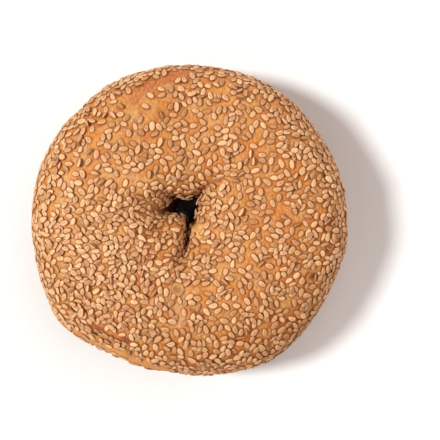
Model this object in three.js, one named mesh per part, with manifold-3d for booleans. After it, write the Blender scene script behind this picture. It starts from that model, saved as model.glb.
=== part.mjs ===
// A sesame bagel: one ring of dough with a flat underside, and sesame seeds fused to its crust.
// Millimetres, +Z up. The origin is on the table, under the middle of the bagel.
// Angles are degrees, seen from above, and turn from +X towards +Y.

import * as THREE from 'three';
import Module from 'manifold-3d';
import { ParametricGeometry } from 'three/addons/geometries/ParametricGeometry.js';
import { MeshSurfaceSampler } from 'three/addons/math/MeshSurfaceSampler.js';
import { mergeVertices } from 'three/addons/utils/BufferGeometryUtils.js';

// Ring of dough
const CRUST_RADIUS = 56.1;
const TOP_HEIGHT = 40;
const WIDEST_HEIGHT = 17;
const THROAT_HEIGHT = 15;
const CREST_SHARE = 0.51;
const OUTER_ROUNDNESS = 2.6;
const INNER_ROUNDNESS = 3.8;
const LOWER_ROUNDNESS = 2.6;
const UNDERSIDE_SINK = 1.5;

// Swells and hollows of the outline: where each lies, how far it spreads and how far it reaches
const OUTLINE_SWELLS = [
	{ at: 31, spread: 12, reach: -0.6 },
	{ at: 86, spread: 26, reach: -1.05 },
	{ at: 133, spread: 7, reach: -0.95 },
	{ at: 218, spread: 16, reach: 3.1 },
	{ at: 270, spread: 13, reach: -0.6 },
	{ at: 303, spread: 18, reach: 2.0 },
	{ at: 353, spread: 9, reach: 0.55 },
];

// Step in the outline where the end of the dough roll laps over its start
const LAP_STEP = { at: 268, rise: 1.2, fade: 6, reach: 0.4 };

// Hole, drawn out into soft corners
const HOLE_X = -0.7;
const HOLE_Y = 4.1;
const HOLE_RADIUS = 2.95;
const HOLE_CORNERS = [
	{ at: 6, spread: 18, reach: 1.7 },
	{ at: 48, spread: 17, reach: 3.7 },
	{ at: 148, spread: 24, reach: 4.2 },
	{ at: 189, spread: 20, reach: 5.2 },
	{ at: 270, spread: 9, reach: 7.0 },
	{ at: 293, spread: 28, reach: 2.4 },
];

// The corners close with depth to this share at the throat, and are open above this share of the height
const THROAT_CORNERS = 0.3;
const CORNERS_OPEN = 0.6;

// Slow rise and fall of the crest, and the side that was pressed lower
const CREST_WAVES = [
	{ lobes: 1, at: 190, reach: 1.2 },
	{ lobes: 3, at: 40 / 3, reach: 0.8 },
];
const PRESSED_SIDE = { at: 240, spread: 35, reach: -6 };

// Creases that run on from the corners of the hole, the joint of the roll and the smooth dents
const FURROWS = [
	{ from: [-10.5, 3.2], to: [-17.5, 5.4], depth: 1.5, halfWidth: 3.2 },
	{ from: [5.5, 10.5], to: [10.8, 13.2], depth: 1.4, halfWidth: 1.8 },
	{ from: [-1.1, -7.4], to: [-3.1, -13.6], depth: 3, halfWidth: 1.7 },
	{ from: [-3.1, -13.6], to: [-3.6, -56], depth: 0.7, halfWidth: 3 },
	{ from: [-8.2, 8.2], to: [-3.6, 8.2], depth: 0.6, halfWidth: 2.8 },
	{ from: [-8.3, -2.8], to: [-7.3, -1.8], depth: 1.5, halfWidth: 5 },
	{ from: [-20.4, 41], to: [-12.5, 48.6], depth: 0.9, halfWidth: 3 },
	{ from: [-12.5, 48.6], to: [5.6, 51.8], depth: 0.9, halfWidth: 2.6 },
	{ from: [-36, 29.4], to: [-35, 29.9], depth: 0.6, halfWidth: 3 },
	{ from: [-43.2, -36.6], to: [-16, -47.5], depth: 0.9, halfWidth: 1.8 },
];

// Grid of the dough: steps around the ring and steps around its section
const RING_STEPS = 74;
const SECTION_STEPS = 26;

// Sesame seeds
const SEED_COUNT = 170;
const SEED_LENGTH = 3.1;
const SEED_WIDTH = 1.9;
const SEED_THICKNESS = 1.0;
const SEED_TAPER = 0.3;
const SEED_SIZE_SPREAD = 0.12;
const SEED_SINK = 0.3;
const SEED_SPACING = 6.4;
const SEED_SIDES = 6;
const SEED_RINGS = 3;
const SEED_RANDOM_START = 8;

// Where the seeds lie: down to this height outside, and this height in the hole
const SEED_LOWEST = 12;
const SEED_LOWEST_IN_HOLE = 33;
const BARE_BAND = { at: 243, spread: 40, reach: 18 };
const SPARSE_SIDE = { at: 105, spread: 45, reach: -0.5 };
const BARE_PATCHES = [
	{ from: [-20.4, 41], to: [-12.5, 48.6], halfWidth: 3.5 },
	{ from: [-12.5, 48.6], to: [5.6, 51.8], halfWidth: 3 },
	{ from: [-36, 29.4], to: [-35, 29.9], halfWidth: 3 },
];

// Colours and finish
const CRUST_COLOR = '#d2915a';
const CRUST_ROUGHNESS = 0.55;

const FULL_TURN = 2 * Math.PI;

function radians(degrees) {
	return THREE.MathUtils.degToRad(degrees);
}

// Signed difference of two angles in degrees, from -180 to 180
function turnBetween(degrees, from) {
	return THREE.MathUtils.euclideanModulo(degrees - from + 180, 360) - 180;
}

// A rounded swell at one side of the ring
function swell(degrees, { at, spread, reach }) {
	const away = turnBetween(degrees, at) / spread;
	return reach * Math.exp(-away * away);
}

function allSwells(degrees, swells) {
	return swells.reduce((sum, one) => sum + swell(degrees, one), 0);
}

// The lap rises sharply on one side and fades slowly on the other
function lapStep(degrees) {
	const away = turnBetween(degrees, LAP_STEP.at);
	const rise = THREE.MathUtils.smoothstep(away, -LAP_STEP.rise, LAP_STEP.rise);
	return LAP_STEP.reach * rise * Math.exp(-Math.max(away, 0) / LAP_STEP.fade);
}

function outlineRadius(degrees) {
	return CRUST_RADIUS + allSwells(degrees, OUTLINE_SWELLS) + lapStep(degrees);
}

// Radius of the hole at a share of the height between its throat and the crest
function holeRadius(degrees, rise) {
	const opened = THREE.MathUtils.smoothstep(rise, 0, CORNERS_OPEN);
	return HOLE_RADIUS + THREE.MathUtils.lerp(THROAT_CORNERS, 1, opened) * allSwells(degrees, HOLE_CORNERS);
}

function crestHeight(degrees) {
	const rise = ({ lobes, at, reach }) => reach * Math.cos(radians(lobes * (degrees - at)));
	return TOP_HEIGHT + CREST_WAVES.reduce((sum, wave) => sum + rise(wave), 0);
}

function widestHeight(degrees) {
	return WIDEST_HEIGHT + swell(degrees, PRESSED_SIDE);
}

// Distance on the plan from a point to the line between two points
function planDistance(x, y, from, to) {
	const along = new THREE.Vector2(to[0] - from[0], to[1] - from[1]);
	const point = new THREE.Vector2(x - from[0], y - from[1]);
	const share = THREE.MathUtils.clamp(point.dot(along) / along.lengthSq(), 0, 1);
	return point.distanceTo(along.multiplyScalar(share));
}

function furrowDepth(x, y) {
	return FURROWS.reduce((sum, { from, to, depth, halfWidth }) => {
		const away = planDistance(x, y, from, to) / halfWidth;
		return sum + depth * Math.exp(-away * away);
	}, 0);
}

// One point of the dough: around is the share of the way round the ring, and section is the
// share of the way round its section, from the outer side over the crest to the hole
function doughPoint(around, section, target) {
	const degrees = (around % 1) * 360;
	const angle = radians(degrees);
	const sectionAngle = (section % 1) * FULL_TURN;
	const out = Math.cos(sectionAngle);
	const up = Math.sin(sectionAngle);

	const upperRoundness = out >= 0 ? OUTER_ROUNDNESS : INNER_ROUNDNESS;
	const roundness = up >= 0 ? upperRoundness : LOWER_ROUNDNESS;
	const sideways = Math.sign(out) * Math.abs(out) ** (2 / roundness);
	const upright = Math.abs(up) ** (2 / roundness);

	const outer = outlineRadius(degrees);
	const inner = holeRadius(degrees, up >= 0 ? upright : 0);
	const outerX = outer * Math.cos(angle);
	const outerY = outer * Math.sin(angle);
	const innerX = HOLE_X + inner * Math.cos(angle);
	const innerY = HOLE_Y + inner * Math.sin(angle);

	const reach = out >= 0 ? 1 - CREST_SHARE : CREST_SHARE;
	const share = CREST_SHARE + reach * sideways;
	const middle = THREE.MathUtils.lerp(THROAT_HEIGHT, widestHeight(degrees), (1 + out) / 2);
	const top = crestHeight(degrees);
	const height = up >= 0
		? THREE.MathUtils.lerp(middle, top, upright)
		: Math.max(THREE.MathUtils.lerp(middle, -UNDERSIDE_SINK, upright), 0);

	target.set(
		THREE.MathUtils.lerp(innerX, outerX, share),
		THREE.MathUtils.lerp(innerY, outerY, share),
		height,
	);
	if (up <= 0) return;

	// Furrows push the upper side towards the core of the ring
	const core = new THREE.Vector3(
		THREE.MathUtils.lerp(innerX, outerX, CREST_SHARE),
		THREE.MathUtils.lerp(innerY, outerY, CREST_SHARE),
		middle,
	);
	const inward = core.sub(target).normalize();
	target.addScaledVector(inward, furrowDepth(target.x, target.y) * upright);
}

function positionsOnly(geometry) {
	geometry.deleteAttribute('normal');
	geometry.deleteAttribute('uv');
	return mergeVertices(geometry);
}

function makeDough() {
	const surface = (u, v, target) => doughPoint(u, v, target);
	return positionsOnly(new ParametricGeometry(surface, RING_STEPS, SECTION_STEPS));
}

// A flat drop, round at one end and drawn in towards the other, along Y with its flat face to Z
function makeSeed() {
	const seed = new THREE.SphereGeometry(1, SEED_SIDES, SEED_RINGS);
	const position = seed.getAttribute('position');
	for (let i = 0; i < position.count; i += 1) {
		const narrowing = 1 - SEED_TAPER * position.getY(i);
		position.setX(i, position.getX(i) * narrowing);
	}
	seed.scale(SEED_WIDTH / 2, SEED_LENGTH / 2, SEED_THICKNESS / 2);
	return positionsOnly(seed);
}

// How thickly the seeds lie at a point of the dough, from 0 for bare to 1
function seedCover(x, y, z) {
	const fromHole = Math.hypot(x - HOLE_X, y - HOLE_Y);
	const degrees = THREE.MathUtils.radToDeg(Math.atan2(y, x));
	const inHole = fromHole < CREST_SHARE * outlineRadius(degrees);
	const lowest = inHole ? SEED_LOWEST_IN_HOLE : SEED_LOWEST + swell(degrees, BARE_BAND);
	if (z < lowest) return 0;
	const bare = BARE_PATCHES.some(({ from, to, halfWidth }) => planDistance(x, y, from, to) < halfWidth);
	return bare ? 0 : 1 + swell(degrees, SPARSE_SIDE);
}

// Seeds are drawn over the dough by their cover and keep a distance to each other
function scatterSeeds(dough) {
	const random = () => THREE.MathUtils.seededRandom();
	THREE.MathUtils.seededRandom(SEED_RANDOM_START);

	const position = dough.getAttribute('position');
	const cover = new Float32Array(position.count);
	for (let i = 0; i < position.count; i += 1) {
		cover[i] = seedCover(position.getX(i), position.getY(i), position.getZ(i));
	}
	dough.setAttribute('cover', new THREE.BufferAttribute(cover, 1));
	const sampler = new MeshSurfaceSampler(new THREE.Mesh(dough))
		.setWeightAttribute('cover')
		.setRandomGenerator(random)
		.build();

	const seed = makeSeed();
	const flatFace = new THREE.Vector3(0, 0, 1);
	const places = [];
	const seeds = [];
	const place = new THREE.Vector3();
	const normal = new THREE.Vector3();
	while (seeds.length < SEED_COUNT) {
		sampler.sample(place, normal);
		const crowded = places.some((other) => other.distanceTo(place) < SEED_SPACING);
		if (crowded || seedCover(place.x, place.y, place.z) === 0) continue;
		places.push(place.clone());

		const size = 1 + SEED_SIZE_SPREAD * (2 * random() - 1);
		const spin = new THREE.Quaternion().setFromAxisAngle(flatFace, random() * FULL_TURN);
		const lean = new THREE.Quaternion().setFromUnitVectors(flatFace, normal);
		const lift = size * SEED_THICKNESS / 2 - SEED_SINK;
		seeds.push(seed.clone().applyMatrix4(new THREE.Matrix4().compose(
			place.clone().addScaledVector(normal, lift),
			lean.multiply(spin),
			new THREE.Vector3(size, size, size),
		)));
	}
	dough.deleteAttribute('cover');
	return seeds;
}

const wasm = await Module();
wasm.setup();

function solidFrom(geometry) {
	return new wasm.Manifold(new wasm.Mesh({
		numProp: 3,
		vertProperties: new Float32Array(geometry.getAttribute('position').array),
		triVerts: new Uint32Array(geometry.getIndex().array),
	}));
}

function geometryFrom(solid) {
	const { vertProperties, triVerts } = solid.getMesh();
	const geometry = new THREE.BufferGeometry();
	geometry.setAttribute('position', new THREE.BufferAttribute(vertProperties, 3));
	geometry.setIndex(new THREE.BufferAttribute(triVerts, 1));
	geometry.computeVertexNormals();
	return geometry;
}

function makeBagel() {
	const dough = makeDough();
	const seeds = scatterSeeds(dough);
	const solid = seeds.reduce((joined, seed) => joined.add(solidFrom(seed)), solidFrom(dough));
	const crust = new THREE.MeshStandardMaterial({
		color: CRUST_COLOR,
		roughness: CRUST_ROUGHNESS,
		metalness: 0,
	});
	const bagel = new THREE.Mesh(geometryFrom(solid), crust);
	bagel.name = 'bagel';
	return bagel;
}

const group = new THREE.Group();
group.add(makeBagel());

export default group;
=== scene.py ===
"""Looks of a sesame bagel: its baked crust, its sesame seeds and the light they are seen in."""

import math
from dataclasses import dataclass, fields
from typing import NamedTuple

import bpy
import numpy as np
from bpy.props import FloatProperty, FloatVectorProperty, IntProperty, PointerProperty
from bpy.types import Operator, Panel, PropertyGroup
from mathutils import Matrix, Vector, noise
from mathutils.kdtree import KDTree


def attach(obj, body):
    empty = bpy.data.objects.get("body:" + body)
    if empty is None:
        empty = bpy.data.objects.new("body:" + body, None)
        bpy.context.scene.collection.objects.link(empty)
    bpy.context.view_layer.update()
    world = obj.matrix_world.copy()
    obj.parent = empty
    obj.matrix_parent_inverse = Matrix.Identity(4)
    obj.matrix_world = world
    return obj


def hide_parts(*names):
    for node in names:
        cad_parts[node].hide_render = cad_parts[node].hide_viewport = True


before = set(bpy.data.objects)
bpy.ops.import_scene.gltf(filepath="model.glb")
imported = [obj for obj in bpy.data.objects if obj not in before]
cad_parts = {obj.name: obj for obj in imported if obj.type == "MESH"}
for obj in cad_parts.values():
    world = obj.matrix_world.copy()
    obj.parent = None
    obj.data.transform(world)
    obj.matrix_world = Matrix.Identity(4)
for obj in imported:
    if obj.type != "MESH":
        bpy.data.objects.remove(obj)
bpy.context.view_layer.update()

bl_info = {
    "name": "Sesame Bagel",
    "version": (1, 0, 0),
    "blender": (4, 5, 0),
    "location": "3D View > Sidebar > Bagel",
    "description": "Makes a sesame bagel with its crust, its seeds and a plain stage",
    "category": "Object",
}

MM = 0.001


def paint(code):
    """Linear colour of a hexadecimal display colour."""
    levels = [int(code[i:i + 2], 16) / 255 for i in (1, 3, 5)]
    return tuple(c / 12.92 if c <= 0.04045 else ((c + 0.055) / 1.055) ** 2.4 for c in levels)


# Form of the dough: angles are in degrees, seen from above, from +X towards +Y

class Swell(NamedTuple):
    """A rounded rise or fall at one side of the ring."""
    at: float
    spread: float
    reach: float


class Furrow(NamedTuple):
    """A dent or crease along a line on the plan, in millimetres."""
    start: tuple
    end: tuple
    depth: float
    half_width: float


class Patch(NamedTuple):
    """A round or long patch on the plan, in millimetres, and how strongly it shows."""
    start: tuple
    end: tuple
    half_width: float
    strength: float = 1.0


class Waves(NamedTuple):
    """Smooth random waves: their size and strength, their octaves and where they start."""
    size: float
    strength: float
    octaves: int
    start: float

    def at(self, points):
        shift = Vector((self.start, 2 * self.start, 3 * self.start))
        places = (Vector(point) / self.size + shift for point in points)
        return self.strength * np.array([noise.fractal(place, 1.0, 2.0, self.octaves) for place in places])


class Zone(NamedTuple):
    """A soft round part of the plan, in millimetres, and the number that holds in its middle."""
    middle: tuple
    radius: float
    number: float

    def share(self, x, y):
        away = np.hypot(x - self.middle[0] * MM, y - self.middle[1] * MM) / (self.radius * MM)
        return np.exp(-away ** 2)


# Share of the way from the hole to the outline at which the crest lies, how round the section's quarters are,
# and how far its lower curve would pass below the table
CREST_SHARE = 0.51
OUTER_ROUNDNESS = 2.6
INNER_ROUNDNESS = 3.8
LOWER_ROUNDNESS = 2.6
UNDERSIDE_SINK = 1.5 * MM

# Swells of the outline, and the small lap at which the ends of the dough roll meet
OUTLINE_SWELLS = (
    Swell(31, 12, -0.6 * MM),
    Swell(86, 26, -1.05 * MM),
    Swell(133, 7, -0.95 * MM),
    Swell(218, 16, 3.1 * MM),
    Swell(270, 13, -0.6 * MM),
    Swell(303, 18, 2.0 * MM),
    Swell(353, 9, 0.55 * MM),
)
LAP_AT, LAP_RISE, LAP_FADE, LAP_REACH = 268, 1.2, 6, 0.4 * MM

# Middle of the hole and the corners into which it is drawn out
HOLE = np.array([-0.7, 4.1]) * MM
HOLE_CORNERS = (
    Swell(6, 18, 1.7 * MM),
    Swell(48, 17, 3.7 * MM),
    Swell(148, 24, 4.2 * MM),
    Swell(189, 20, 5.2 * MM),
    Swell(270, 9, 7.0 * MM),
    Swell(293, 28, 2.4 * MM),
)
# The corners close with depth to this share at the throat, and are open above this share of the height
THROAT_CORNERS, CORNERS_OPEN = 0.3, 0.6

# Waves of the crest round the ring, by their number, place and height, and the side that is widest lower down
CREST_WAVES = ((1, 190, 1.2 * MM), (3, 40 / 3, 0.8 * MM))
PRESSED_SIDE = Swell(240, 35, -6 * MM)

# Folds at the hole, the crease down from it, and dents and creases near the outline
FURROWS = (
    Furrow((-10.5, 3.2), (-17.5, 5.4), 1.5, 3.2),
    Furrow((5.5, 10.5), (10.8, 13.2), 1.4, 1.8),
    Furrow((-1.1, -7.4), (-3.1, -13.6), 3.0, 1.7),
    Furrow((-3.1, -13.6), (-3.6, -56.0), 0.7, 3.0),
    Furrow((-8.2, 8.2), (-3.6, 8.2), 0.6, 2.8),
    Furrow((-8.3, -2.8), (-7.3, -1.8), 1.5, 5.0),
    Furrow((-20.4, 41.0), (-12.5, 48.6), 0.9, 3.0),
    Furrow((-12.5, 48.6), (5.6, 51.8), 0.9, 2.6),
    Furrow((-36.0, 29.4), (-35.0, 29.9), 0.6, 3.0),
    Furrow((-43.2, -36.6), (-16.0, -47.5), 0.9, 1.8),
)

# Small baked blisters: middle on the plan in millimetres, radius of the ring, its width and height
BLISTERS = (
    ((-3.5, -24.1), 1.7, 0.6, 1.25),
    ((3.0, -24.5), 0.0, 1.5, 0.45),
    ((1.5, -26.1), 0.0, 2.6, 0.45),
    ((6.4, -27.1), 0.0, 2.2, 0.40),
    ((21.6, -2.5), 0.0, 1.3, 0.40),
    ((-4.2, -31.4), 0.0, 2.4, 0.35),
)

# Grid of the crust: steps round the ring and round its section, and how much longer they are underneath
RING_STEPS = 500
SECTION_STEPS = 198
UNDERSIDE_STRETCH = 4
SECTION_SAMPLES = 200001

# Fine relief of the crust, and the height over which it grows from the flat underside
LUMPS = Waves(15 * MM, 0.40 * MM, 2, 3.7)
WRINKLES = Waves(2.6 * MM, 0.11 * MM, 3, 8.1)
PINCHES = Waves(5.5 * MM, 0.16 * MM, 2, 6.4)
RELIEF_FULL = 4 * MM

# Patches of bare crust between the seeds, in millimetres, by the colour they have baked to. A few seeds
# lie on the orange ones, and none on the others
ORANGE_BARENESS = 0.9
ORANGE_PATCHES = (
    Patch((-33.2, 27.6), (-32.6, 27.6), 2.8),
    Patch((-8.6, 28.0), (-7.8, 22.8), 2.4),
    Patch((-1.4, 34.1), (1.5, 34.4), 2.1, 0.7),
    Patch((28.6, 7.6), (35.3, -1.9), 3.2, 0.6),
    Patch((27.7, -5.7), (27.7, -9.5), 1.7),
    Patch((21.8, 12.2), (22.6, 10.3), 1.9, 0.8),
    Patch((20.4, -14.5), (22.6, -16.2), 1.8, 0.8),
    Patch((1.7, -24.3), (5.9, -28.1), 2.4),
    Patch((-9.2, -11.8), (-5.9, -12.8), 1.7),
    Patch((-7.8, 15.6), (-7.5, 12.0), 1.6, 0.7),
    Patch((-47.8, 1.9), (-47.3, 2.9), 1.8),
    Patch((-33.4, 21.0), (-33.7, 12.4), 1.7, 0.8),
)
RED_PATCHES = (
    Patch((-19.5, 42.6), (-10.5, 47.8), 2.5, 0.9),
    Patch((-10.5, 47.8), (0.0, 51.3), 1.9),
    Patch((-17.4, 41.6), (-18.7, 40.8), 1.6),
    Patch((-33.3, -36.3), (-19.9, -41.9), 1.3),
    Patch((4.5, 11.6), (10.4, 12.5), 1.4, 0.55),
    Patch((21.5, -2.5), (21.6, -2.7), 1.3),
    Patch((-34.1, -16.0), (-33.8, -16.4), 1.0),
    Patch((1.3, -31.4), (6.6, -33.7), 0.9),
    Patch((-19.8, 14.6), (-19.2, 14.2), 1.4),
    Patch((-15.2, 27.6), (-14.8, 27.4), 1.3),
)
PALE_PATCHES = (
    Patch((-3.4, -29.8), (-2.5, -35.4), 1.9),
    Patch((-11.8, 4.2), (-10.0, 3.0), 1.7),
    Patch((-25.7, 16.5), (-19.0, 14.8), 2.4, 0.7),
    Patch((-3.5, -24.1), (-3.4, -24.0), 3.4),
    Patch((3.0, -24.5), (3.1, -24.5), 1.3, 0.8),
)

# Smooth pad by the hole that stayed pale yellow
LIGHT_PATCHES = (
    Patch((3.0, -1.6), (3.4, -5.0), 2.2),
)

# Small spots that are darker
DARK_PATCHES = (
    Patch((-4.0, 47.5), (-2.5, 47.7), 0.8, 0.7),
    Patch((-33.0, -36.4), (-29.5, -38.4), 0.6, 0.5),
    Patch((-22.6, -41.0), (-20.1, -42.0), 0.8, 0.6),
    Patch((-34.3, -16.0), (-34.0, -16.3), 0.7, 0.6),
    Patch((-3.2, -24.6), (-2.9, -23.8), 0.7, 0.45),
    Patch((-5.6, -23.2), (-5.4, -25.2), 0.4, 0.4),
    Patch((-2.2, -26.4), (-1.0, -24.6), 0.4, 0.4),
    Patch((1.1, -30.8), (5.7, -32.9), 0.6, 0.45),
)

# Seeds lie down to these heights outside and in the hole, but leave a band at the lower side bare, apart
# from a small share of strays. Their number fades in over the given heights
SEED_LOWEST = 6 * MM
SEED_LOWEST_IN_HOLE, SEED_FULL_IN_HOLE = 21 * MM, 29 * MM
SEED_FADE = (-1.5 * MM, 2.0 * MM)
BARE_BAND = Swell(245, 31, 26 * MM)
BAND_FADE = (-2.0 * MM, 3.0 * MM)
STRAY_SHARE = 0.025

# Soft round parts at which more seeds are thrown by this factor, or fewer where it is below 1
SEED_ZONES = (
    Zone((-26, -26), 24, 6.0),
    Zone((-31, -6), 16, 4.0),
    Zone((2, 3), 13, 2.6),
    Zone((47, -12), 15, 3.0),
    Zone((44, 22), 12, 2.2),
    Zone((12, -44), 15, 1.6),
    Zone((38, -32), 13, 2.2),
    Zone((-42, 34), 9, 1.6),
    Zone((-10, 34), 18, 0.35),
    Zone((-32, 17), 14, 0.40),
    Zone((31, 3), 9, 0.45),
    Zone((24, 28), 12, 0.75),
)

# Share of their widths that seeds keep apart, and the zone in which they lie closer. A footprint is three
# discs, the outer ones at this share of the way to the seed's ends
ROOM = 0.80
CLOSE_ZONE = Zone((-26, -22), 28, 0.71)
FOOTPRINT_SHARE = 0.85

# Soft round parts that are browner, or paler where the number is below 0: partly the bake, partly painted
# light and shade, with the shaded right edge painted paler and the lower rim painted darker
BROWNING_AND_LIGHT_ZONES = (
    Zone((-36, -2), 17, -0.55),
    Zone((43, 8), 13, 0.15),
    Zone((28, -38), 16, 0.30),
    Zone((8, -46), 12, 0.20),
    Zone((-11, 39), 8, 0.15),
    Zone((6, 50), 12, 0.15),
    Zone((12, 44), 9, -0.35),
    Zone((9, -26), 8, -0.35),
    Zone((54, 8), 12, -0.35),
    Zone((44, 28), 13, -0.30),
    Zone((-46, -18), 9, 0.20),
    Zone((31, 3), 12, 0.15),
    Zone((-54, 4), 10, 0.15),
    Zone((-12, 10), 7, -0.40),
    Zone((-11, -4), 6, 0.35),
    Zone((-7, -55), 6, 0.60),
)

# Where colours of the crust begin and end: by how far it faces up, the depth of a furrow, the distance from
# the hole or the height. The furrows and the hole's throat get painted shade
FACING_UP = (0.0, 0.35)
FOLD_DEPTH, FOLD_SHARPNESS, FOLD_SHARE = 3 * MM, 1.5, 0.25
THROAT_REACH = (6 * MM, 13 * MM)
THROAT_BOTTOM, THROAT_TOP = (0.5 * MM, 5 * MM), (22 * MM, 34 * MM)
OUTSIDE = (24 * MM, 30 * MM)
UNDERSIDE_EDGE, UNDERSIDE_SHARE = (0.5 * MM, 6 * MM), 0.8
DARK_SOFTNESS = 0.7

# Clusters in which the seeds lie closer together
CLUSTERS = Waves(6.5 * MM, 1.6, 2, 5.3)

# How seeds vary: the spread of their length, width and thickness, and of the whole seed
SIZE_SPREAD, WHOLE_SPREAD = (0.08, 0.08, 0.10), 0.06

# How seeds lie: rolled and pitched in radians, and sunk in by a share of their thickness. They turn less and
# sink in deeper where the crust is steep
STEEP, LEVEL = 0.35, 0.75
ROLL_SPREAD, EDGEWISE_ROLL, PITCH_SPREAD, STEEP_TURN = 0.2, (0.8, 1.3), 0.09, 0.3
SINK, STEEP_SINK = (0.08, 0.28), 0.15

# Seeds that lie on others: how many, how far apart, how they lie, and how many seeds within reach carry one
UPPER_COUNT, UPPER_ROOM = 360, 1.5
UPPER_LIFT, UPPER_PITCH = 0.5, 0.22
CARRIERS, CARRY_REACH = 4, 2.3 * MM

# Seed mesh: sides round its length and rings along it
SEED_SIDES = 12
SEED_RINGS = 8

# Ranges of a seed's taper, dimple and heart, spread of its bend, and middle and spread of its toasting
TAPER, DIMPLE, HEART, BEND_SPREAD = (0.10, 0.30), (0.05, 0.35), (0.1, 1), 0.05
TOASTING, TOASTING_SPREAD = 0.18, 0.2

# Browner crust with painted contact shade round the seeds, and painted shade on a seed where it dips into
# another: by the distance from the other's rim and the height over its top
RIM_SEEDS, RIM_REACH, RIM_WIDTH = 3, 3 * MM, 0.5 * MM
DIP_REACH, DIP_RIM, DIP_TOP = 2.9 * MM, (-0.2 * MM, 0.15 * MM), (-0.1 * MM, 0.3 * MM)


def turn_between(degrees, start):
    """Signed difference of two angles in degrees, from -180 to 180."""
    return (degrees - start + 180) % 360 - 180


def swell(degrees, one):
    away = turn_between(degrees, one.at) / one.spread
    return one.reach * np.exp(-away ** 2)


def smoothstep(value, low, high):
    share = np.clip((value - low) / (high - low), 0, 1)
    return share * share * (3 - 2 * share)


def mix(a, b, share):
    return a + (b - a) * share


def unit(vectors):
    return vectors / np.linalg.norm(vectors, axis=-1, keepdims=True)


def outline_radius(degrees, crust_radius):
    away = turn_between(degrees, LAP_AT)
    lap = LAP_REACH * smoothstep(away, -LAP_RISE, LAP_RISE) * np.exp(-np.maximum(away, 0) / LAP_FADE)
    return crust_radius + sum(swell(degrees, one) for one in OUTLINE_SWELLS) + lap


def hole_radius(degrees, radius, opened):
    """Radius of the hole where its corners are open by that share."""
    return radius + opened * sum(swell(degrees, one) for one in HOLE_CORNERS)


def seed_edge(degrees):
    """Height down to which the outside carries seeds."""
    away = turn_between(degrees, BARE_BAND.at) / BARE_BAND.spread
    return SEED_LOWEST + BARE_BAND.reach * np.exp(-away ** 4)


def crest_height(degrees, height):
    waves = (reach * np.cos(np.radians(lobes * (degrees - at))) for lobes, at, reach in CREST_WAVES)
    return height + sum(waves)


def plan_distance(x, y, start, end):
    """Distance on the plan, in metres, to the line between two points given in millimetres."""
    ax, ay = start[0] * MM, start[1] * MM
    dx, dy = end[0] * MM - ax, end[1] * MM - ay
    share = np.clip(((x - ax) * dx + (y - ay) * dy) / (dx * dx + dy * dy), 0, 1)
    return np.hypot(x - ax - share * dx, y - ay - share * dy)


def furrow_depth(x, y):
    total = 0
    for one in FURROWS:
        away = plan_distance(x, y, one.start, one.end) / (one.half_width * MM)
        total = total + one.depth * MM * np.exp(-away ** 2)
    return total


def patch_share(x, y, patches, soft=0.45):
    """Strength inside the patches, 0 outside, with a soft rim."""
    share = np.zeros_like(x)
    for one in patches:
        away = plan_distance(x, y, one.start, one.end) / (one.half_width * MM)
        share = np.maximum(share, one.strength * (1 - smoothstep(away, 1 - soft, 1 + soft)))
    return share


def browning_and_painted_light(x, y):
    """How much browner than usual the bagel is, from -1 to 1: partly its bake, partly painted light and
    shade.
    """
    return np.clip(sum(zone.number * zone.share(x, y) for zone in BROWNING_AND_LIGHT_ZONES), -1, 1)


def blister_height(x, y):
    """Height of the blisters over the crust: rings, or round pads where the ring has no radius."""
    total = 0
    for (middle_x, middle_y), ring, width, height in BLISTERS:
        away = (np.hypot(x - middle_x * MM, y - middle_y * MM) - ring * MM) / (width * MM)
        total = total + height * MM * np.exp(-away ** 2)
    return total


def dough_points(around, section, dough):
    """Points of the dough: shares of the way round the ring and round its section."""
    degrees = around * 360
    angle = np.radians(degrees)
    out = np.cos(section * 2 * np.pi)
    up = np.sin(section * 2 * np.pi)
    upper_roundness = np.where(out >= 0, OUTER_ROUNDNESS, INNER_ROUNDNESS)
    roundness = np.where(up >= 0, upper_roundness, LOWER_ROUNDNESS)
    sideways = np.sign(out) * np.abs(out) ** (2 / roundness)
    upright = np.abs(up) ** (2 / roundness)
    opened = mix(THROAT_CORNERS, 1, smoothstep(np.where(up >= 0, upright, 0), 0, CORNERS_OPEN))

    outer = outline_radius(degrees, dough.crust_radius)
    inner = hole_radius(degrees, dough.hole_radius, opened)
    direction = np.stack([np.cos(angle), np.sin(angle)], axis=-1)
    outer_rim = outer[..., None] * direction
    inner_rim = HOLE + inner[..., None] * direction

    share = CREST_SHARE + np.where(out >= 0, 1 - CREST_SHARE, CREST_SHARE) * sideways
    widest = dough.widest_height + swell(degrees, PRESSED_SIDE)
    middle = mix(dough.throat_height, widest, (1 + out) / 2)
    upper = mix(middle, crest_height(degrees, dough.top_height), upright)
    lower = np.maximum(mix(middle, -UNDERSIDE_SINK, upright), 0)
    plan = mix(inner_rim, outer_rim, share[..., None])
    points = np.concatenate([plan, np.where(up >= 0, upper, lower)[..., None]], axis=-1)

    core = np.concatenate([mix(inner_rim, outer_rim, CREST_SHARE), middle[..., None]], axis=-1)
    inward = unit(core - points)
    depth = furrow_depth(points[..., 0], points[..., 1]) * upright * (up > 0)
    return points + inward * depth[..., None], inward


def even_sections(dough):
    """Shares of the way round the section that lie evenly along its upper side."""
    share = np.linspace(0, 1, SECTION_SAMPLES)
    points, _ = dough_points(np.zeros_like(share), share, dough)
    steps = np.linalg.norm(np.diff(points, axis=0), axis=1)
    way = np.cumsum(np.where(share[1:] > 0.5, steps / UNDERSIDE_STRETCH, steps))
    return np.interp(np.arange(SECTION_STEPS) / SECTION_STEPS * way[-1], np.append(0, way), share)


# Mesh and object helpers

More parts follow.
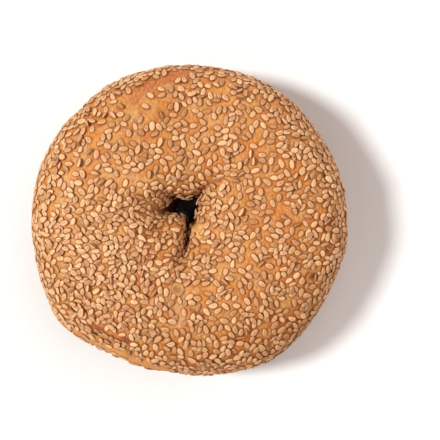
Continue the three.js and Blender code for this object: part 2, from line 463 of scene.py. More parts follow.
def new_piece(name, points, faces, material, values):
    """A smooth mesh object made of arrays, which rides on the bagel."""
    mesh = bpy.data.meshes.new(name)
    corners = faces.shape[1]
    mesh.vertices.add(len(points))
    mesh.vertices.foreach_set("co", np.ascontiguousarray(points, np.float32).ravel())
    mesh.loops.add(faces.size)
    mesh.loops.foreach_set("vertex_index", faces.astype(np.int32).ravel())
    mesh.polygons.add(len(faces))
    mesh.polygons.foreach_set("loop_start", np.arange(len(faces), dtype=np.int32) * corners)
    mesh.polygons.foreach_set("loop_total", np.full(len(faces), corners, np.int32))
    mesh.update(calc_edges=True)
    mesh.validate()
    mesh.polygons.foreach_set("use_smooth", np.ones(len(mesh.polygons), bool))
    store(mesh, values)
    mesh.materials.append(material)
    piece = bpy.data.objects.new(name, mesh)
    bpy.context.scene.collection.objects.link(piece)
    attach(piece, "root")
    return piece


def store(mesh, values):
    """Puts one number a vertex on the mesh under each label."""
    for label, numbers in values.items():
        layer = mesh.attributes.new(label, "FLOAT", "POINT")
        layer.data.foreach_set("value", np.ascontiguousarray(numbers, np.float32))


def vertex_normals(mesh):
    normals = np.empty(len(mesh.vertices) * 3, np.float32)
    mesh.vertex_normals.foreach_get("vector", normals)
    return normals.reshape(-1, 3)


def vertex_points(mesh):
    points = np.empty(len(mesh.vertices) * 3, np.float32)
    mesh.vertices.foreach_get("co", points)
    return points.reshape(-1, 3).astype(float)


# Materials

class Socket:
    """An output socket that takes part in Python arithmetic: each operation adds its Math node."""

    def __init__(self, finish, link):
        self.finish = finish
        self.link = link

    def math(self, operation, *values):
        return self.finish.node("ShaderNodeMath", {"operation": operation}, dict(enumerate(values)))

    def __add__(self, other):
        return self.math("ADD", self, other)

    __radd__ = __add__

    def __sub__(self, other):
        return self.math("SUBTRACT", self, other)

    def __rsub__(self, other):
        return self.math("SUBTRACT", other, self)

    def __mul__(self, other):
        return self.math("MULTIPLY", self, other)

    __rmul__ = __mul__

    def between(self, low, high):
        """0 below low, 1 above high and a smooth step between them."""
        inputs = {0: self, 1: low, 2: high, 3: 0.0, 4: 1.0}
        return self.finish.node("ShaderNodeMapRange", {"interpolation_type": "SMOOTHSTEP"}, inputs)


class Finish:
    """One material: its nodes are added by one method."""

    def __init__(self, name):
        self.material = bpy.data.materials.new(name)
        self.material.use_nodes = True
        self.tree = self.material.node_tree
        self.tree.nodes.clear()

    def node(self, kind, settings=None, inputs=None, output=0):
        made = self.tree.nodes.new(kind)
        for name, value in (settings or {}).items():
            setattr(made, name, value)
        for key, value in (inputs or {}).items():
            if isinstance(value, Socket):
                self.tree.links.new(value.link, made.inputs[key])
            elif made.inputs[key].type == "RGBA" and len(value) == 3:
                made.inputs[key].default_value = (*value, 1.0)
            else:
                made.inputs[key].default_value = value
        return Socket(self, made.outputs[output] if made.outputs else None)

    def value(self, label):
        """A number stored on the mesh."""
        return self.node("ShaderNodeAttribute", {"attribute_name": label}, output=2)

    def place(self):
        return self.node("ShaderNodeTexCoord", output=3)

    def speckle(self, size, detail=2.0, roughness=0.5, stretch=(1.0, 1.0, 1.0)):
        """Noise of 0 to 1 whose spots are about that size, drawn out where stretch is below 1."""
        place = self.node("ShaderNodeVectorMath", {"operation": "MULTIPLY"}, {0: self.place(), 1: stretch})
        inputs = {"Vector": place, "Scale": 1 / size, "Detail": detail, "Roughness": roughness}
        return self.node("ShaderNodeTexNoise", inputs=inputs)

    def blend(self, share, a, b):
        return self.node("ShaderNodeMix", {"data_type": "RGBA"}, {0: share, 6: a, 7: b}, output=2)

    def surface(self, color, roughness, height, depth, constants):
        """Closes the material with its shader, whose fixed numbers are set on its own sockets."""
        bump = self.node("ShaderNodeBump", inputs={"Height": height, "Distance": depth, "Strength": 1.0})
        inputs = {"Base Color": color, "Roughness": roughness, "Normal": bump, **constants}
        shader = self.node("ShaderNodeBsdfPrincipled", inputs=inputs)
        self.node("ShaderNodeOutputMaterial", inputs={"Surface": shader})
        return self.material


def crust_finish(dough):
    """Baked crust: golden, orange or reddish where bare, with painted shade in the furrows and down the hole,
    and browner crust with painted contact shade round the seeds.
    """
    finish = Finish("baked_crust")
    broad = finish.speckle(10 * MM, detail=2.0)
    middling = finish.speckle(3.0 * MM, detail=3.0, roughness=0.6)
    other = finish.speckle(4.3 * MM, detail=3.0, roughness=0.6, stretch=(1.0, 0.8, 1.2))
    streaks = finish.speckle(0.75 * MM, detail=2.0, roughness=0.6, stretch=(1.0, 0.32, 0.6))
    fine = finish.speckle(0.85 * MM, detail=3.0, roughness=0.65)
    grain = finish.speckle(0.4 * MM)
    golden = finish.blend(broad.between(0.42, 0.62) * 0.75, dough.golden_color, dough.orange_color)
    tanned = finish.blend(middling.between(0.48, 0.62) * 0.5, golden, dough.red_color)
    paled = finish.blend(other.between(0.50, 0.62) * 0.6, tanned, dough.pale_color)
    browner = finish.blend(finish.value("browner"), paled, dough.brown_color)
    paler = finish.blend(finish.value("paler"), browner, dough.light_color)
    banded = finish.blend(finish.value("band") * 0.8, paler, dough.band_color)
    orange = finish.blend(finish.value("orange") * (0.3 + 0.5 * fine), banded, dough.orange_color)
    reddish = finish.blend(finish.value("reddish") * (0.5 + 0.5 * fine), orange, dough.red_color)
    pale = finish.blend(finish.value("pale") * (0.5 + 0.5 * fine), reddish, dough.pale_color)
    dark_streaks = finish.blend(streaks.between(0.52, 0.68) * 0.4, pale, dough.brown_color)
    light_streaks = finish.blend((1 - streaks.between(0.32, 0.48)) * 0.32, dark_streaks, dough.light_color)
    specked = finish.blend(fine.between(0.52, 0.66) * 0.35, light_streaks, dough.brown_color)
    bright = finish.blend((1 - fine.between(0.34, 0.47)) * 0.25, specked, dough.light_color)
    dark = finish.blend(finish.value("dark"), bright, dough.fold_color)
    # Browner crust with painted contact shade round the seeds
    ringed = finish.blend(finish.value("near_seed") * 0.62, dark, dough.brown_color)
    # Painted shade in the furrows and down the hole's throat, in the colour of the dark spots
    folded = finish.blend(finish.value("fold"), ringed, dough.fold_color)
    color = finish.blend(finish.value("underside"), folded, dough.underside_color)
    roughness = 0.48 + 0.25 * fine
    relief = 0.45 * fine + 0.2 * grain + 0.7 * middling + 0.4 * streaks
    constants = {"Coat Weight": 0.03, "Coat Roughness": 0.4, "Specular IOR Level": 0.15}
    return finish.surface(color, roughness, relief, 0.22 * MM, constants)


def seed_finish(name, color, heart_color, seeds):
    """Toasted sesame: a paler rim, a browner heart, painted shade on its lower side and where it dips beneath
    another seed, and a tone of its own.
    """
    finish = Finish(name)
    mottle = finish.speckle(0.7 * MM, detail=2.0)
    body = finish.blend(finish.value("tone"), color, seeds.toasted_color)
    heart = finish.blend(finish.value("heart") * (0.45 + 0.9 * mottle), body, heart_color)
    tipped = finish.blend(finish.value("tip") * 0.45, heart, seeds.tip_color)
    # Painted shade on the lower side of each seed, where it lies on the crust
    under = finish.blend(finish.value("under") * 0.7, tipped, seeds.tip_color)
    # Painted shade where a seed dips beneath the one beside it
    crowded = finish.blend(finish.value("crowded") * 0.65, under, seeds.tip_color)
    roughness = 0.42 + 0.2 * mottle
    constants = {"Specular IOR Level": 0.2}
    return finish.surface(crowded, roughness, mottle, 0.03 * MM, constants)


# Settings that a user would change

class DoughSettings(PropertyGroup):
    """Sizes and colours of the crust."""
    crust_radius: FloatProperty(
        name="Crust radius", description="Middle radius of the outline, without seeds",
        default=56.1 * MM, min=0.04, max=0.08, unit="LENGTH", subtype="DISTANCE")
    top_height: FloatProperty(
        name="Top height", description="Height of the crest over the table, without seeds",
        default=40 * MM, min=0.02, max=0.06, unit="LENGTH", subtype="DISTANCE")
    widest_height: FloatProperty(
        name="Widest height", description="Height at which the outside is widest",
        default=17 * MM, min=0.005, max=0.03, unit="LENGTH", subtype="DISTANCE")
    throat_height: FloatProperty(
        name="Throat height", description="Height at which the hole is narrowest",
        default=15 * MM, min=0.005, max=0.03, unit="LENGTH", subtype="DISTANCE")
    hole_radius: FloatProperty(
        name="Hole radius", description="Least radius of the hole between its corners",
        default=2.95 * MM, min=0.001, max=0.02, unit="LENGTH", subtype="DISTANCE")
    golden_color: FloatVectorProperty(
        name="Golden crust", description="Colour of most of the crust",
        default=paint("#c1884b"), size=3, min=0, max=1, subtype="COLOR")
    orange_color: FloatVectorProperty(
        name="Orange crust", description="Colour of the bare crust that has baked orange",
        default=paint("#c0702c"), size=3, min=0, max=1, subtype="COLOR")
    red_color: FloatVectorProperty(
        name="Reddish crust", description="Colour of the smooth dents and of reddish streaks",
        default=paint("#b3683f"), size=3, min=0, max=1, subtype="COLOR")
    band_color: FloatVectorProperty(
        name="Bare side", description="Colour of the bare band at the lower side",
        default=paint("#c7873f"), size=3, min=0, max=1, subtype="COLOR")
    # Also the browner crust with painted contact shade round the seeds, and the browner zones, some of which
    # are painted shade
    brown_color: FloatVectorProperty(
        name="Brown crust", description="Colour of specks and of crust round the seeds",
        default=paint("#88461a"), size=3, min=0, max=1, subtype="COLOR")
    pale_color: FloatVectorProperty(
        name="Pale crust", description="Colour of the paler patches",
        default=paint("#c49868"), size=3, min=0, max=1, subtype="COLOR")
    # Also the paler zones, which on the shaded right edge are painted light
    light_color: FloatVectorProperty(
        name="Light specks", description="Colour of the palest specks and streaks",
        default=paint("#deaa67"), size=3, min=0, max=1, subtype="COLOR")
    # Painted shade in the furrows and the hole's throat, and also the colour of the small dark spots
    fold_color: FloatVectorProperty(
        name="Folds", description="Colour in the folds round the hole",
        default=paint("#4a200c"), size=3, min=0, max=1, subtype="COLOR")
    underside_color: FloatVectorProperty(
        name="Underside", description="Colour of the baked underside",
        default=paint("#a96a34"), size=3, min=0, max=1, subtype="COLOR")


class SeedSettings(PropertyGroup):
    """Sizes, number and colours of the seeds."""
    length: FloatProperty(
        name="Length", description="Middle length of a seed",
        default=2.94 * MM, min=0.001, max=0.006, unit="LENGTH", subtype="DISTANCE")
    width: FloatProperty(
        name="Width", description="Middle width of a seed",
        default=1.84 * MM, min=0.0005, max=0.004, unit="LENGTH", subtype="DISTANCE")
    thickness: FloatProperty(
        name="Thickness", description="Middle thickness of a seed",
        default=0.9 * MM, min=0.0003, max=0.002, unit="LENGTH", subtype="DISTANCE")
    throws: IntProperty(
        name="Throws", description="Seeds thrown at the crust, of which those that find room stay",
        default=24000, min=100, max=100000)
    random_start: IntProperty(
        name="Random start", description="Number that the scatter starts from",
        default=11, min=0)
    pale_color: FloatVectorProperty(
        name="Pale seeds", description="Colour of the palest seeds",
        default=paint("#deb385"), size=3, min=0, max=1, subtype="COLOR")
    golden_color: FloatVectorProperty(
        name="Golden seeds", description="Colour of the golden seeds",
        default=paint("#d8a77b"), size=3, min=0, max=1, subtype="COLOR")
    tan_color: FloatVectorProperty(
        name="Tan seeds", description="Colour of the browner seeds",
        default=paint("#c39267"), size=3, min=0, max=1, subtype="COLOR")
    toasted_color: FloatVectorProperty(
        name="Toasting", description="Colour that the most toasted seeds turn to",
        default=paint("#a6703e"), size=3, min=0, max=1, subtype="COLOR")
    # Also the painted shade on the seeds' lower sides and where they dip beneath others
    tip_color: FloatVectorProperty(
        name="Tips", description="Colour at the pointed end of a seed",
        default=paint("#7e4418"), size=3, min=0, max=1, subtype="COLOR")


class StageSettings(PropertyGroup):
    """Camera, floor and light."""
    view_width: FloatProperty(
        name="View width", description="Width of the picture at the height of the outline",
        default=159 * MM, min=0.05, max=1.0, unit="LENGTH", subtype="DISTANCE")
    lens: FloatProperty(
        name="Lens", description="Focal length of the camera in millimetres",
        default=100.0, min=20, max=300)
    key_strength: FloatProperty(
        name="Key light", description="Strength of the light from the left",
        default=3.32, min=0, max=20)
    soft_strength: FloatProperty(
        name="Soft lights", description="Strength of the broad soft lights round the bagel",
        default=1.68, min=0, max=20)
    fill_strength: FloatProperty(
        name="Fill light", description="Strength of the even light from all round",
        default=0.08, min=0, max=5)
    floor_color: FloatVectorProperty(
        name="Floor", description="Colour of the plain floor",
        default=(0.735, 0.75, 0.765), size=3, min=0, max=1, subtype="COLOR")


# Crust

def crust_values(points, normals):
    """Numbers on the crust that its finish reads."""
    x, y, z = points.T
    degrees = np.degrees(np.arctan2(y, x))
    up = smoothstep(normals[:, 2], *FACING_UP)
    # Painted shade: darker where the furrows dip and down the hole's throat
    fold = np.clip(furrow_depth(x, y) / FOLD_DEPTH, 0, 1) ** FOLD_SHARPNESS
    from_hole = np.hypot(x - HOLE[0], y - HOLE[1])
    throat = 1 - smoothstep(from_hole, *THROAT_REACH)
    deep = smoothstep(z, *THROAT_BOTTOM) * (1 - smoothstep(z, *THROAT_TOP))
    outside = smoothstep(from_hole, *OUTSIDE)
    # Browner or paler crust: partly the bake, partly painted light on the shaded right edge and painted shade
    # at the lower rim
    browner = browning_and_painted_light(x, y) * up
    return {
        "browner": np.maximum(browner, 0),
        "paler": np.maximum(-browner, patch_share(x, y, LIGHT_PATCHES) * up),
        "dark": patch_share(x, y, DARK_PATCHES, DARK_SOFTNESS) * up,
        "orange": patch_share(x, y, ORANGE_PATCHES) * up,
        "reddish": patch_share(x, y, RED_PATCHES) * up,
        "pale": patch_share(x, y, PALE_PATCHES) * up,
        "fold": np.clip(FOLD_SHARE * fold * up + throat * deep, 0, 1),
        "underside": UNDERSIDE_SHARE * (1 - smoothstep(z, *UNDERSIDE_EDGE)),
        "band": outside * (1 - smoothstep(z - seed_edge(degrees), *BAND_FADE)),
    }


class BAGEL_OT_crust(Operator):
    """Makes the crust in place of the plain solid"""
    bl_idname = "bagel.crust"
    bl_label = "Bake the crust"

    def execute(self, context):
        dough = context.scene.bagel_dough
        rounds = np.arange(RING_STEPS) / RING_STEPS
        around, section = np.meshgrid(rounds, even_sections(dough), indexing="ij")
        points, inward = dough_points(around, section, dough)
        points = points.reshape(-1, 3)
        inward = inward.reshape(-1, 3)
        free = smoothstep(points[:, 2], 0, RELIEF_FULL)
        relief = LUMPS.at(points) + WRINKLES.at(points) - np.abs(PINCHES.at(points))
        blisters = blister_height(points[:, 0], points[:, 1]) * (points[:, 2] > dough.widest_height)
        points = points - inward * (free * relief + blisters)[:, None]

        row = np.arange(RING_STEPS)[:, None] * SECTION_STEPS
        next_row = (np.arange(RING_STEPS)[:, None] + 1) % RING_STEPS * SECTION_STEPS
        column = np.arange(SECTION_STEPS)[None, :]
        next_column = (column + 1) % SECTION_STEPS
        corners = [row + column, next_row + column, next_row + next_column, row + next_column]
        faces = np.stack(corners, axis=-1).reshape(-1, 4)
        crust = new_piece("crust", points, faces, crust_finish(dough), {})
        store(crust.data, crust_values(points, vertex_normals(crust.data)))
        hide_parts("bagel")
        return {"FINISHED"}


# Seeds

def seed_cover(points, dough):
    """How many seeds are thrown at each point, with 1 as the middling number."""
    x, y, z = points.T
    degrees = np.degrees(np.arctan2(y, x))
    from_hole = np.hypot(x - HOLE[0], y - HOLE[1])
    outer_side = from_hole > CREST_SHARE * outline_radius(degrees, dough.crust_radius)
    edge = seed_edge(degrees)
    strewn = mix(STRAY_SHARE, 1, smoothstep(z - edge, *SEED_FADE))
    outer_cover = strewn * smoothstep(z - SEED_LOWEST, *SEED_FADE)
    inner_cover = smoothstep(z, SEED_LOWEST_IN_HOLE, SEED_FULL_IN_HOLE)
    cover = np.where(outer_side, outer_cover, inner_cover)
    cover = cover * (1 - ORANGE_BARENESS * patch_share(x, y, ORANGE_PATCHES))
    for patches in (RED_PATCHES, PALE_PATCHES, LIGHT_PATCHES):
        cover = cover * (1 - patch_share(x, y, patches))
    for zone in SEED_ZONES:
        cover = cover * zone.number ** zone.share(x, y)
    return cover


@dataclass
class Strewn:
    """Seeds by the arrays of their places, frames, sizes and tilts."""
    place: np.ndarray
    normal: np.ndarray
    axis: np.ndarray
    side: np.ndarray
    size: np.ndarray
    roll: np.ndarray
    pitch: np.ndarray
    lift: np.ndarray

    def take(self, chosen):
        return Strewn(*(getattr(self, field.name)[chosen] for field in fields(self)))

    def half_length(self):
        return self.size[:, 0] / 2

    def half_width(self):
        """Half of the width that a seed takes on the crust, by how far it is rolled."""
        return self.half_rolled(self.size[:, 1], self.size[:, 2])

    def half_height(self):
        return self.half_rolled(self.size[:, 2], self.size[:, 1])

    def half_rolled(self, level, upright):
        return (np.abs(np.cos(self.roll)) * level + np.abs(np.sin(self.roll)) * upright) / 2


def throw_seeds(crust, dough, seeds, edgewise_share, random):
    """Random seeds on the crust, by its area and their cover."""
    mesh = crust.data
    points = vertex_points(mesh)
    normals = vertex_normals(mesh).astype(float)
    corners = np.empty(len(mesh.polygons) * 4, np.int32)
    mesh.loops.foreach_get("vertex_index", corners)
    corners = corners.reshape(-1, 4)
    diagonal_a = points[corners[:, 2]] - points[corners[:, 0]]
    diagonal_b = points[corners[:, 3]] - points[corners[:, 1]]
    area = np.linalg.norm(np.cross(diagonal_a, diagonal_b), axis=1) / 2
    middles = points[corners].mean(axis=1)
    weight = area * seed_cover(middles, dough) * np.exp(CLUSTERS.at(middles))
    count = seeds.throws
    quad = corners[random.choice(len(weight), count, p=weight / weight.sum())]
    share = random.random((count, 2, 1))

    def spread(values):
        low = mix(values[quad[:, 0]], values[quad[:, 1]], share[:, 0])
        high = mix(values[quad[:, 3]], values[quad[:, 2]], share[:, 0])
        return mix(low, high, share[:, 1])

    normal = unit(spread(normals))
    across = unit(np.cross(normal, np.array([1.0, 0.13, 0.07])))
    turn = random.random((count, 1)) * 2 * np.pi
    axis = np.cos(turn) * across + np.sin(turn) * np.cross(normal, across)

    size = np.array([seeds.length, seeds.width, seeds.thickness])
    size = size * random.normal(1, SIZE_SPREAD, (count, 3)) * random.normal(1, WHOLE_SPREAD, (count, 1))
    level = smoothstep(normal[:, 2], STEEP, LEVEL)
    edgewise = random.random(count) < edgewise_share * level
    roll = np.where(edgewise, random.uniform(*EDGEWISE_ROLL, count), random.normal(0, ROLL_SPREAD, count))
    roll = roll * random.choice([-1, 1], count) * mix(STEEP_TURN, 1.0, level)
    pitch = random.normal(0, PITCH_SPREAD, count) * mix(STEEP_TURN, 1.0, level)
    lift = -size[:, 2] * (random.uniform(*SINK, count) + STEEP_SINK * (1 - level))
    return Strewn(spread(points), normal, axis, np.cross(axis, normal), size, roll, pitch, lift)


def settle(thrown, room):
    """Indices of the thrown seeds that find room, looked for among those in the grid's cells round them."""
    half_length, half_width = thrown.half_length(), thrown.half_width()
    room = np.broadcast_to(room, len(thrown.place))
    cell = 2.2 * half_length.max()
    reach = thrown.axis * (FOOTPRINT_SHARE * np.maximum(half_length - half_width, 0))[:, None]
    discs = np.stack([thrown.place - reach, thrown.place, thrown.place + reach], axis=1)
    keys = np.floor(thrown.place / cell).astype(int)
    grid = {}
    kept = []
    steps = [(i, j, k) for i in (-1, 0, 1) for j in (-1, 0, 1) for k in (-1, 0, 1)]
    for index, (i, j, k) in enumerate(keys):
        near = [n for a, b, c in steps for n in grid.get((i + a, j + b, k + c), ())]
        if near:
            gaps = np.linalg.norm(discs[near][:, :, None] - discs[index][None, None], axis=-1)
            if (gaps < room[index] * (half_width[near] + half_width[index])[:, None, None]).any():
                continue
        grid.setdefault((i, j, k), []).append(index)
        kept.append(index)
    return np.array(kept)


def lay_on_others(thrown, lying, random):
    """A few of the seeds that found no room lie on others instead, where these carry them."""
    tree = place_tree(thrown.place[lying])
    rest = np.setdiff1d(np.arange(len(thrown.place)), lying)
    rest = rest[thrown.normal[rest][:, 2] > LEVEL]
    carried = [n for n in rest if len(tree.find_range(thrown.place[n], CARRY_REACH)) >= CARRIERS]
    upper = thrown.take(random.permutation(carried))
    upper = upper.take(settle(upper, UPPER_ROOM)[:UPPER_COUNT])
    upper.lift = UPPER_LIFT * upper.size[:, 2]
    upper.pitch = random.normal(0, UPPER_PITCH, len(upper.pitch))
    return upper


def gather(groups):
    """The seeds of all the groups as one."""
    labels = [field.name for field in fields(Strewn)]
    return Strewn(*(np.concatenate([getattr(one, label) for one in groups]) for label in labels))


def seed_points(together, random):
    """Points of all the seeds, with their values."""
    # The seeds' toasting follows the same zones, with their painted light and shade
    browner = browning_and_painted_light(together.place[:, 0], together.place[:, 1])
    shape, values = seed_shape(together.size, browner, random)
    flat, edge = np.cos(together.roll)[:, None], np.sin(together.roll)[:, None]
    rolled_side = together.side * flat + together.normal * edge
    rolled_normal = together.normal * flat - together.side * edge
    tilt, level = np.sin(together.pitch)[:, None], np.cos(together.pitch)[:, None]
    tilted_axis = together.axis * level + rolled_normal * tilt
    tilted_normal = rolled_normal * level - together.axis * tilt
    middle = together.place + together.normal * (together.half_height() + together.lift)[:, None]
    turned = np.stack([rolled_side, tilted_axis, tilted_normal], axis=1)
    points = np.einsum("nvk,nkj->nvj", shape, turned) + middle[:, None]
    values["crowded"] = crowding(points, together)
    return points, values


def place_tree(places):
    """Tree that finds the places near a point, by their numbers."""
    tree = KDTree(len(places))
    for index, place in enumerate(places):
        tree.insert(place, index)
    tree.balance()
    return tree


def crowding(points, strewn):
    """How far each point of a seed dips into the seeds beside it, from 0 to 1, for the painted shade there.
    """
    tree = place_tree(strewn.place)
    half_width = strewn.half_width()
    reach = np.maximum(strewn.half_length() - half_width, 0)
    top = 2 * strewn.half_height() + strewn.lift
    crowded = np.zeros(points.shape[:2])
    for number, own in enumerate(points):
        for _, index, _ in tree.find_range(strewn.place[number], DIP_REACH):
            if index == number:
                continue
            offset = own - strewn.place[index]
            height = offset @ strewn.normal[index]
            along = np.clip(offset @ strewn.axis[index], -reach[index], reach[index])
            flat = offset - along[:, None] * strewn.axis[index] - height[:, None] * strewn.normal[index]
            clear = np.linalg.norm(flat, axis=1) - half_width[index]
            beside = 1 - smoothstep(clear, *DIP_RIM)
            below = 1 - smoothstep(height - top[index], *DIP_TOP)
            crowded[number] = np.maximum(crowded[number], beside * below)
    return crowded


def seed_shape(size, browner, random):
    """Points of every seed in its own frame: side, axis and normal, with its values."""
    count = len(size)
    ring = np.arange(1, SEED_RINGS)
    along = -np.cos(np.pi * ring / SEED_RINGS)
    angle = 2 * np.pi * np.arange(SEED_SIDES) / SEED_SIDES
    along, angle = (grid.ravel() for grid in np.meshgrid(along, angle, indexing="ij"))
    along = np.concatenate([along, [-1, 1]])
    angle = np.concatenate([angle, [0, 0]])
    girth = np.maximum(1 - along ** 2, 0) ** (0.5 + 0.12 * smoothstep(along, 0, 1))

    taper = random.uniform(*TAPER, (count, 1))
    bend = random.normal(0, BEND_SPREAD, (count, 1))
    dimple = random.uniform(*DIMPLE, (count, 1))
    profile = girth * (1 - taper * along) / (1 + 0.3 * taper)
    flat = np.abs(np.sin(angle)) * girth
    x = size[:, 1:2] / 2 * (np.cos(angle) * profile + bend * (1 - along ** 2) * 2)
    y = size[:, 0:1] / 2 * along
    thick = np.sign(np.sin(angle)) * np.abs(np.sin(angle)) ** 0.8 * profile ** 0.8
    z = size[:, 2:3] / 2 * thick * (1 - dimple * flat ** 3)
    face = np.maximum(np.sin(angle), 0) ** 8 * (1 - along ** 2) ** 2
    heart = random.uniform(*HEART, (count, 1))
    tone = np.clip(random.normal(TOASTING, TOASTING_SPREAD, (count, 1)) + browner[:, None], 0, 1)
    values = {
        "heart": face * heart,
        "tip": np.tile(smoothstep(along, 0.7, 1.0), (count, 1)),
        # Painted shade from about the seed's middle height down
        "under": np.tile(smoothstep(-np.sin(angle), -0.55, 0.15), (count, 1)),
        "tone": np.tile(tone, (1, len(along))),
    }
    return np.stack([x, y, z], axis=-1), values


def seed_faces(count):
    """Triangles of all the seeds of a piece."""
    last = SEED_SIDES * (SEED_RINGS - 1)
    ring = np.arange(SEED_RINGS - 2)[:, None] * SEED_SIDES
    side = np.arange(SEED_SIDES)[None, :]
    next_side = (side + 1) % SEED_SIDES
    a, b = ring + side, ring + next_side
    c, d = a + SEED_SIDES, b + SEED_SIDES
    walls = np.concatenate([np.stack([a, c, b], -1).reshape(-1, 3), np.stack([b, c, d], -1).reshape(-1, 3)])
    side, next_side = side[0], next_side[0]
    start = np.stack([np.full(SEED_SIDES, last), side, next_side], -1)
    end_ring = SEED_SIDES * (SEED_RINGS - 2)
    end = np.stack([np.full(SEED_SIDES, last + 1), end_ring + next_side, end_ring + side], -1)
    one = np.concatenate([walls, start, end])
    return (one[None] + np.arange(count)[:, None, None] * (last + 2)).reshape(-1, 3)


def darken_round_seeds(crust, lying):
    """Stores on the crust how near each of its points is to the rim of a seed, for the browner crust and
    painted contact shade there.
    """
    tree = place_tree(lying.place)
    half_width = lying.half_width()
    reach = np.maximum(lying.half_length() - half_width, 0)
    gap = np.full(len(crust.data.vertices), 1.0)
    for number, point in enumerate(vertex_points(crust.data)):
        for _, index, away in tree.find_n(point, RIM_SEEDS):
            if away > RIM_REACH:
                continue
            offset = point - lying.place[index]
            along = min(max(offset @ lying.axis[index], -reach[index]), reach[index])
            clear = np.linalg.norm(offset - lying.axis[index] * along) - half_width[index]
            gap[number] = min(gap[number], clear)
    store(crust.data, {"near_seed": 1 - smoothstep(gap, 0.0, RIM_WIDTH)})


class BAGEL_OT_seeds(Operator):
    """Strews the sesame seeds over the crust"""
    bl_idname = "bagel.seeds"
    bl_label = "Strew the seeds"

    EDGEWISE_SHARE = 0.06
    KINDS = (
        ("seeds_pale", "pale_color", paint("#a9744c"), 0.46),
        ("seeds_golden", "golden_color", paint("#9e6840"), 0.36),
        ("seeds_tan", "tan_color", paint("#925c3c"), 0.18),
    )

    def execute(self, context):
        dough = context.scene.bagel_dough
        seeds = context.scene.bagel_seeds
        crust = bpy.data.objects["crust"]
        random = np.random.default_rng(seeds.random_start)
        thrown = throw_seeds(crust, dough, seeds, self.EDGEWISE_SHARE, random)
        close = CLOSE_ZONE.share(thrown.place[:, 0], thrown.place[:, 1])
        lying = settle(thrown, mix(ROOM, CLOSE_ZONE.number, close))
        upper = lay_on_others(thrown, lying, random)
        points, marks = seed_points(gather([thrown.take(lying), upper]), random)

        kind = random.choice(len(self.KINDS), len(points), p=[share for *_, share in self.KINDS])
        for number, (name, color, heart_color, _) in enumerate(self.KINDS):
            mine = np.flatnonzero(kind == number)
            values = {label: numbers[mine].ravel() for label, numbers in marks.items()}
            material = seed_finish(name, getattr(seeds, color), heart_color, seeds)
            new_piece(name, points[mine].reshape(-1, 3), seed_faces(len(mine)), material, values)
        darken_round_seeds(crust, thrown.take(lying))
        return {"FINISHED"}


# Stage

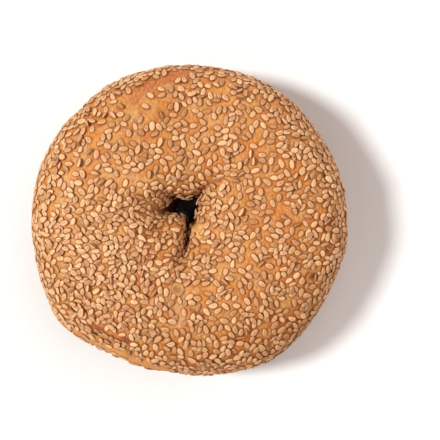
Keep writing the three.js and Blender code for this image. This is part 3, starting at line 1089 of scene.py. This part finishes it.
class BAGEL_OT_stage(Operator):
    """Sets up the floor, the light and the camera over the bagel"""
    bl_idname = "bagel.stage"
    bl_label = "Set the stage"

    CAMERA_X = 11.0 * MM
    CAMERA_Y = -0.2 * MM
    OUTLINE_HEIGHT = 18 * MM
    SENSOR_WIDTH = 36.0
    CLIP_START = 0.01
    FLOOR_SIZE = 4.0
    KEY_ELEVATION, KEY_HEADING, KEY_SOFTNESS = 52, 176, 13
    SOFT_ELEVATION, SOFT_SOFTNESS = 40, 80
    SOFT_SHARES = {45: 1.1, 225: 0.6, 315: 0.26}
    COOL, WARM = (0.98, 1.0, 0.98), (1.0, 0.88, 0.82)

    def execute(self, context):
        stage = context.scene.bagel_stage
        scene = context.scene
        self.make_floor(stage)
        key = (self.KEY_ELEVATION, self.KEY_HEADING, self.KEY_SOFTNESS)
        self.make_sun(stage.key_strength, self.COOL, *key)
        for heading, share in self.SOFT_SHARES.items():
            strength = share * stage.soft_strength
            self.make_sun(strength, self.WARM, self.SOFT_ELEVATION, heading, self.SOFT_SOFTNESS)
        self.make_fill(scene, stage)
        self.make_camera(scene, stage)
        scene.view_settings.view_transform = "Standard"
        scene.view_settings.look = "None"
        return {"FINISHED"}

    def make_floor(self, stage):
        half = self.FLOOR_SIZE / 2
        mesh = bpy.data.meshes.new("floor")
        corners = [(-half, -half, 0), (half, -half, 0), (half, half, 0), (-half, half, 0)]
        mesh.from_pydata(corners, [], [(0, 1, 2, 3)])
        finish = Finish("pale_floor")
        inputs = {"Base Color": tuple(stage.floor_color), "Roughness": 0.9, "Specular IOR Level": 0.0}
        shader = finish.node("ShaderNodeBsdfPrincipled", inputs=inputs)
        finish.node("ShaderNodeOutputMaterial", inputs={"Surface": shader})
        mesh.materials.append(finish.material)
        floor = bpy.data.objects.new("floor", mesh)
        bpy.context.scene.collection.objects.link(floor)

    def make_sun(self, strength, color, elevation, heading, softness):
        light = bpy.data.lights.new("light", "SUN")
        light.energy = strength
        light.color = color
        light.angle = math.radians(softness)
        lamp = bpy.data.objects.new("light", light)
        up, turn = math.radians(elevation), math.radians(heading)
        towards = Vector((math.cos(up) * math.cos(turn), math.cos(up) * math.sin(turn), math.sin(up)))
        lamp.rotation_euler = towards.to_track_quat("Z", "Y").to_euler()
        bpy.context.scene.collection.objects.link(lamp)

    def make_fill(self, scene, stage):
        world = bpy.data.worlds.new("fill")
        world.use_nodes = True
        background = world.node_tree.nodes["Background"]
        background.inputs["Color"].default_value = (*self.WARM, 1.0)
        background.inputs["Strength"].default_value = stage.fill_strength
        scene.world = world

    def make_camera(self, scene, stage):
        data = bpy.data.cameras.new("camera")
        data.lens = stage.lens
        data.sensor_width = self.SENSOR_WIDTH
        data.clip_start = self.CLIP_START
        camera = bpy.data.objects.new("camera", data)
        distance = stage.view_width * stage.lens / self.SENSOR_WIDTH
        camera.location = (self.CAMERA_X, self.CAMERA_Y, self.OUTLINE_HEIGHT + distance)
        scene.collection.objects.link(camera)
        scene.camera = camera


class BAGEL_PT_sidebar(Panel):
    """Lists the bagel's settings and what makes it"""
    bl_idname = "BAGEL_PT_sidebar"
    bl_label = "Sesame Bagel"
    bl_space_type = "VIEW_3D"
    bl_region_type = "UI"
    bl_category = "Bagel"

    def draw(self, context):
        parts = (
            (context.scene.bagel_dough, BAGEL_OT_crust),
            (context.scene.bagel_seeds, BAGEL_OT_seeds),
            (context.scene.bagel_stage, BAGEL_OT_stage),
        )
        for settings, operator in parts:
            box = self.layout.box()
            for name in settings.__annotations__:
                box.prop(settings, name)
            box.operator(operator.bl_idname)


CLASSES = (
    DoughSettings,
    SeedSettings,
    StageSettings,
    BAGEL_OT_crust,
    BAGEL_OT_seeds,
    BAGEL_OT_stage,
    BAGEL_PT_sidebar,
)


def register():
    for one in CLASSES:
        bpy.utils.register_class(one)
    bpy.types.Scene.bagel_dough = PointerProperty(type=DoughSettings)
    bpy.types.Scene.bagel_seeds = PointerProperty(type=SeedSettings)
    bpy.types.Scene.bagel_stage = PointerProperty(type=StageSettings)


def unregister():
    del bpy.types.Scene.bagel_stage
    del bpy.types.Scene.bagel_seeds
    del bpy.types.Scene.bagel_dough
    for one in reversed(CLASSES):
        bpy.utils.unregister_class(one)


def main():
    register()
    bpy.ops.bagel.crust()
    bpy.ops.bagel.seeds()
    bpy.ops.bagel.stage()


if __name__ == "__main__":
    main()
